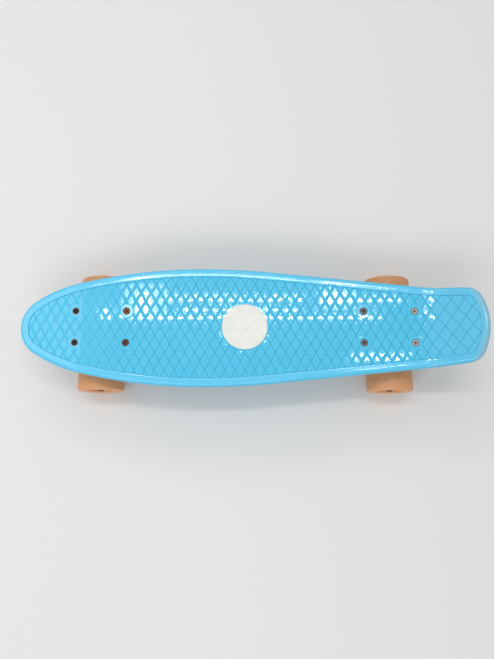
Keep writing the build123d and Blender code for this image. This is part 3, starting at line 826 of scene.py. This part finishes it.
zinc_steel = steel_finish("zinc_steel_finish", zinc_grey, zinc_clouded, low=0.25, high=0.42)
bearing_steel = steel_finish("bearing_steel_finish", bearing_bright, bearing_clouded, low=0.14, high=0.26)
shade_black_steel = steel_finish("black_oxide_finish", shade_black, shade_clouded, low=0.35, high=0.5)
paint("zinc_steel", zinc_steel)
paint("bearing_steel", bearing_steel)
# The axles and their nuts get the near black steel: painted shade.
for end in ("front", "rear"):
    for name in (end + "_axle", end + "_axle_nuts"):
        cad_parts[name].material_slots[0].material = shade_black_steel
        print("painted shade black ->", name)

# %% [markdown]
# Each bolt and kingpin shows a little thread past its lock nut, and each lock nut shows the nylon ring that
# grips the thread. Modelled one by one they would be two dozen small jobs. Both repeat, so two small trees
# make them: a ridge swept along a helix, and a ring swept along a circle.

# %% Trees for threads and lock rings
nylon_white, nylon_clouded = (0.72, 0.73, 0.70, 1.0), (0.60, 0.61, 0.58, 1.0)
nylon_depth = (1.0 * mm, 1.0 * mm, 1.0 * mm)  # that red, green and blue light go in
section_points = 8
path_points = 40  # round a ring, or in each turn of a thread

ring_nylon, tree, shader, place = finish(
    "ring_nylon_finish", 0.4, Subsurface_Weight=0.2, Subsurface_Radius=nylon_depth
)
nylon_cloud = noise(tree, place, grains=400.0)
tint(tree, shader, nylon_cloud, nylon_white, nylon_clouded)
roughen(tree, shader, nylon_cloud, low=0.35, high=0.5)


def circle(tree, points, radius):
    """A circle about Z."""
    return node(tree, "GeometryNodeCurvePrimitiveCircle", points, None, None, None, radius).outputs[0]


def helix_path(tree, given):
    """A helix about Z, from z = 0 upward."""
    rise = maths(tree, "MULTIPLY", given["Pitch"], given["Turns"])
    sizes = given["Turns"], given["Radius"], given["Radius"], rise
    return node(tree, "GeometryNodeCurveSpiral", path_points, *sizes).outputs[0]


def ring_path(tree, given):
    """One turn about Z, without a rise."""
    return circle(tree, path_points, given["Radius"])


def swept_tree(name, labels, path, thickness, material):
    """A tree that sweeps a small round section along a path; thickness is the label of its radius."""
    tree, given = new_tree(name, labels)
    section = circle(tree, section_points, given[thickness])
    swept = node(tree, "GeometryNodeCurveToMesh", path(tree, given), section, None, True).outputs[0]
    end_tree(tree, swept, material)
    return tree


thread_labels = ["Radius", "Pitch", "Turns", "Ridge"]
thread_tree = swept_tree("screw_thread", thread_labels, helix_path, "Ridge", zinc_steel)
ring_tree = swept_tree("lock_ring", ["Radius", "Tube"], ring_path, "Tube", ring_nylon)
print("trees:", thread_tree.name, ring_tree.name)

# %% [markdown]
# A bolt's thread is finer than a kingpin's, and a ring fits the rod that it grips. So the two trees are run
# once for each size, five times in all, and the copies share these meshes.

# %% Grow threads and rings
bolt_radius = 2.5 * mm
bolt_thread = 0.8 * mm
bolt_ridge = 0.2 * mm
bolt_turns = 1.4
kingpin_radius = 4.75 * mm
kingpin_thread = 1.2 * mm
kingpin_ridge = 0.3 * mm
kingpin_turns = 1.6
axle_radius = 4.0 * mm
ring_tube = 0.45 * mm
ring_clearance = 1.1  # of the tube's radius, from the rod to the middle of the tube

bolt_screw = grown(
    "bolt_screw", thread_tree, radius=bolt_radius, pitch=bolt_thread, turns=bolt_turns, ridge=bolt_ridge
)
kingpin_screw = grown(
    "kingpin_screw",
    thread_tree,
    radius=kingpin_radius,
    pitch=kingpin_thread,
    turns=kingpin_turns,
    ridge=kingpin_ridge,
)
lock_rings = {
    radius: grown("lock_ring", ring_tree, radius=radius + ring_clearance * ring_tube, tube=ring_tube)
    for radius in (bolt_radius, kingpin_radius, axle_radius)
}
for mesh in (bolt_screw, kingpin_screw, *lock_rings.values()):
    print(mesh.name, "faces:", len(mesh.polygons))

# %% [markdown]
# The trees make their thread or ring upright. Each copy is then stood on its rod: straight down on the
# bolts, along the leaning kingpins, and sideways on the axles. Copies that ride on the same body are joined
# to one piece.

# %% Stand them on their rods
kingpin_lean = math.radians(18.0)
bushing_ring_z = 43.0 * mm  # of the hanger's ring, where the kingpin passes
bushing_ring_x = 16.0 * mm  # from the middle of the truck, inward
kingpin_nut_end = 23.0 * mm  # along the kingpin, from the ring down to the nut's end
ring_sink = 0.25 * mm


def stand(name, body, placed):
    """One object from many meshes, each stood with its Z along a direction at a point."""
    points, faces = [], []
    for mesh, start, direction in placed:
        turn = Vector(direction).to_track_quat("Z", "Y")
        faces += [[index + len(points) for index in polygon.vertices] for polygon in mesh.polygons]
        points += [tuple(turn @ vertex.co + Vector(start)) for vertex in mesh.vertices]
    joined = bpy.data.meshes.new(name)
    joined.from_pydata(points, [], faces)
    joined.polygons.foreach_set("use_smooth", [True] * len(faces))
    joined.materials.append(placed[0][0].materials[0])
    whole = bpy.data.objects.new(name, joined)
    scene.collection.objects.link(whole)
    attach(whole, body)
    print(name, "pieces:", len(placed), " faces:", len(faces))


threads, rings = [], []
nut_end_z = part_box("front_deck_nuts")[0].z
for x, y in bolt_spots:
    threads.append((bolt_screw, (x, y, nut_end_z - bolt_ridge), (0, 0, -1)))
    rings.append((lock_rings[bolt_radius], (x, y, nut_end_z + ring_sink), (0, 0, -1)))
for middle_x, to_end in ((front_x, -1), (rear_x, 1)):
    down = Vector((-to_end * math.sin(kingpin_lean), 0, -math.cos(kingpin_lean)))
    ring_middle = Vector((middle_x - to_end * bushing_ring_x, 0, bushing_ring_z))
    threads.append((kingpin_screw, ring_middle + down * (kingpin_nut_end + kingpin_ridge), down))
    rings.append((lock_rings[kingpin_radius], ring_middle + down * (kingpin_nut_end - ring_sink), down))
stand("bolt_threads", "deck", threads)
stand("deck_lock_rings", "deck", rings)
for end in ("front", "rear"):
    low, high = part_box(end + "_axle_nuts")
    middle = (low + high) / 2
    sides = [(low.y + ring_sink, (0, -1, 0)), (high.y - ring_sink, (0, 1, 0))]
    axle_rings = [(lock_rings[axle_radius], (middle.x, y, middle.z), way) for y, way in sides]
    stand(end + "_axle_lock_rings", end + "_hanger", axle_rings)

# %% [markdown]
# The trucks are cast aluminium, tumbled smooth. A plain metal shader would look machined: the skin of a
# casting is faintly pebbled, and it is never quite even in gloss. So the finish has two greys, an uneven
# roughness and a fine bump.

# %% Castings
cast_bright = (0.60, 0.61, 0.63, 1.0)
cast_dull = (0.46, 0.47, 0.49, 1.0)
truck_casting, tree, shader, place = finish("truck_casting_finish", 0.4, Metallic=1.0)
tint(tree, shader, patches(tree, place, grains=60.0, detail=4.0), cast_bright, cast_dull)
roughen(tree, shader, noise(tree, place, grains=150.0, detail=4.0), low=0.34, high=0.52)
emboss(tree, shader, noise(tree, place, grains=650.0), depth=0.12 * mm)
paint("truck_casting", truck_casting)

# %% [markdown]
# The pivot cups are black moulded plastic. The bushings are pale cast urethane, slightly see-through. Glass
# that is made milky would give that, but slowly; a little light that scatters below the surface is enough.

# %% Cups and bushings
cup_black, cup_grey = (0.025, 0.025, 0.026, 1.0), (0.045, 0.045, 0.047, 1.0)
pivot_plastic, tree, shader, place = finish("pivot_plastic_finish", 0.45)
cup_mottle = noise(tree, place, grains=300.0)
tint(tree, shader, cup_mottle, cup_black, cup_grey)
roughen(tree, shader, cup_mottle, low=0.4, high=0.55)
paint("pivot_plastic", pivot_plastic)

bushing_pale, bushing_clouded = (0.76, 0.77, 0.74, 1.0), (0.70, 0.71, 0.67, 1.0)
bushing_depth = (4.0 * mm, 4.0 * mm, 3.0 * mm)
bushing_urethane, tree, shader, place = finish(
    "bushing_urethane_finish", 0.35, Subsurface_Weight=0.25, Subsurface_Radius=bushing_depth
)
tint(tree, shader, noise(tree, place, grains=120.0), bushing_pale, bushing_clouded)
roughen(tree, shader, noise(tree, place, grains=260.0), low=0.3, high=0.42)
paint("bushing_urethane", bushing_urethane)

# %% [markdown]
# The wheels are cast in tan urethane. The lips and faces keep a satin skin, and the running band in the
# middle is scuffed and a little dirty. The band could be a second material on its own faces, but it has no
# sharp border, so it is a mask: the distance from the middle of the wheel, measured along the axle.

# %% Wheels
tan_urethane = (0.74, 0.345, 0.150, 1.0)
tan_scuffed = (0.62, 0.305, 0.140, 1.0)
urethane_depth = (3.0 * mm, 2.0 * mm, 1.0 * mm)
band_plain, band_gone = 0.45, 0.75  # of the wheel's half width, where the band starts to fade and ends
wheel_low, wheel_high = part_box("front_left_wheel")
wheel_middle = abs((wheel_low.y + wheel_high.y) / 2)
wheel_half = (wheel_high.y - wheel_low.y) / 2

wheel_urethane, tree, shader, place = finish(
    "wheel_urethane_finish", 0.38, Subsurface_Weight=0.1, Subsurface_Radius=urethane_depth
)
sideways = maths(tree, "ABSOLUTE", node(tree, "ShaderNodeSeparateXYZ", place).outputs["Y"])
from_band = maths(tree, "ABSOLUTE", maths(tree, "SUBTRACT", sideways, wheel_middle))
band = ranged(tree, from_band, wheel_half * band_plain, wheel_half * band_gone, 1.0, 0.0)
scuffs = maths(tree, "MULTIPLY", band, patches(tree, place, grains=110.0, detail=5.0))
tint(tree, shader, scuffs, tan_urethane, tan_scuffed)
roughen(tree, shader, noise(tree, place, grains=200.0, detail=4.0), low=0.34, high=0.5)
emboss(tree, shader, noise(tree, place, grains=500.0), depth=0.06 * mm)
paint("wheel_urethane", wheel_urethane)

# %% [markdown]
# The board stands on a plain pale floor. It carries the shadow and nothing else. A curved backdrop would
# hide the horizon from one side only, so the floor fades to the white of the surround far from the board,
# and no horizon shows in any low view.

# %% Floor
floor_pale = (0.80, 0.80, 0.79, 1.0)
floor_half = 6.0
fade_start, fade_end = 0.8, 3.5  # from the board's middle
white = (1.0, 1.0, 1.0, 1.0)
surround_white = 0.85


def seen_directly(tree):
    """1 for what the camera sees, also in a mirror, and 0 for the light that reaches the board."""
    path = node(tree, "ShaderNodeLightPath").outputs
    return maths(tree, "MAXIMUM", path["Is Camera Ray"], path["Is Glossy Ray"])


floor_finish, tree, shader, place = finish("floor_finish", 0.7)
shader.inputs["Base Color"].default_value = floor_pale
from_board = distance(tree, place, (0.0, 0.0, 0.0))
far_away = ranged(tree, from_board, fade_start, fade_end, 0.0, 1.0, "SMOOTHSTEP")
fade = maths(tree, "MULTIPLY", far_away, seen_directly(tree))
haze = node(tree, "ShaderNodeEmission", white, surround_white).outputs[0]
mixed = node(tree, "ShaderNodeMixShader", fade, shader.outputs[0], haze).outputs[0]
feed(tree, tree.nodes["Material Output"].inputs["Surface"], mixed)

floor_mesh = bpy.data.meshes.new("floor")
floor_corners = [(-floor_half, -floor_half, 0), (floor_half, -floor_half, 0)]
floor_corners += [(floor_half, floor_half, 0), (-floor_half, floor_half, 0)]
floor_mesh.from_pydata(floor_corners, [], [(0, 1, 2, 3)])
floor_mesh.materials.append(floor_finish)
floor = bpy.data.objects.new("floor", floor_mesh)
scene.collection.objects.link(floor)
print("floor:", 2 * floor_half, "m square")

# %% [markdown]
# Three soft boxes light the board evenly: one from the far side, one from the near side and a low one over
# the nose, which brightens there. They are given by radiance, not by watts, so that a box can change its
# size and keep its brightness in the gloss.

# %% Soft boxes
def area_lamp(name, spot, aim, length, depth, radiance):
    """A rectangular lamp, its long side along the board, turned towards a point."""
    data = bpy.data.lights.new(name, "AREA")
    data.shape = "RECTANGLE"
    data.size = length
    data.size_y = depth
    data.energy = radiance * math.pi * length * depth
    lamp = bpy.data.objects.new(name, data)
    lamp.location = spot
    lamp.rotation_euler = (Vector(aim) - Vector(spot)).to_track_quat("-Z", "Y").to_euler()
    scene.collection.objects.link(lamp)


board_middle = (0.0, 0.0, ride_z)
softboxes = {  # place, aim, length, depth and radiance
    "far_softbox": ((-0.5, 1.8, 1.9), board_middle, 1.8, 0.8, 1.9),
    "near_softbox": ((-0.4, -1.3, 1.7), board_middle, 1.6, 0.7, 3.5),
    "nose_softbox": ((-0.80, 0.17, 1.0), (-0.80, 0.17, 0.0), 0.7, 0.4, 1.75),
}
for name, settings in softboxes.items():
    area_lamp(name, *settings)
print("soft boxes:", ", ".join(softboxes))

# %% [markdown]
# The photograph was taken below a ceiling of tube lamps, whose mirror images make the rows of white glints
# on the tread and the long lines on the rim. White spots painted on the deck would stay put when the board
# turns, so narrow lamps, small panels and two weak glows round them hang at ceiling height. Seen in a flat
# deck, a point at y mirrors the ceiling at 3.86 y + 0.43 metres, which gives each lamp's place from the row
# of glints that it makes.

# %% Ceiling lamps
ceiling = 2.4
tube_radiance = 60.0
glow_radiance = 8.0
ceiling_lamps = {  # place along and across the board, length, depth and radiance
    "upper_tube": (-0.085, 0.574, 0.68, 0.012, tube_radiance),
    "upper_tail_tube": (0.570, 0.572, 0.32, 0.012, tube_radiance),
    "middle_tube": (-0.058, 0.518, 0.57, 0.010, tube_radiance),
    "lower_tube": (0.028, 0.482, 1.20, 0.010, tube_radiance),
    "near_tail_tube": (0.610, 0.288, 0.27, 0.016, tube_radiance),
    "nose_panel": (-0.520, 0.545, 0.06, 0.100, tube_radiance),
    "small_nose_panel": (-0.705, 0.500, 0.035, 0.050, tube_radiance),
    "waist_panel": (0.390, 0.575, 0.10, 0.050, tube_radiance),
    "nose_glow": (-0.520, 0.555, 0.22, 0.180, glow_radiance),
    "waist_glow": (0.420, 0.580, 0.18, 0.120, glow_radiance),
}
for name, (x, y, length, depth, radiance) in ceiling_lamps.items():
    area_lamp(name, (x, y, ceiling), (x, y, 0.0), length, depth, radiance)
print("ceiling lamps:", ", ".join(ceiling_lamps))

# %% [markdown]
# The surround is an even white. A white that lit the board as brightly as it looks would wash out its
# colours, so the world is split: the camera sees a near white, and the board gets a dimmer light from it.

# %% Surround
surround_light = 0.48
world = bpy.data.worlds.new("surround")
world.use_nodes = True
tree = world.node_tree
background = tree.nodes["Background"].inputs
background["Color"].default_value = white
strength = ranged(tree, seen_directly(tree), 0.0, 1.0, surround_light, surround_white)
feed(tree, background["Strength"], strength)
scene.world = world
scene.view_settings.view_transform = "Standard"
print("surround:", surround_white, "as seen,", surround_light, "as light")
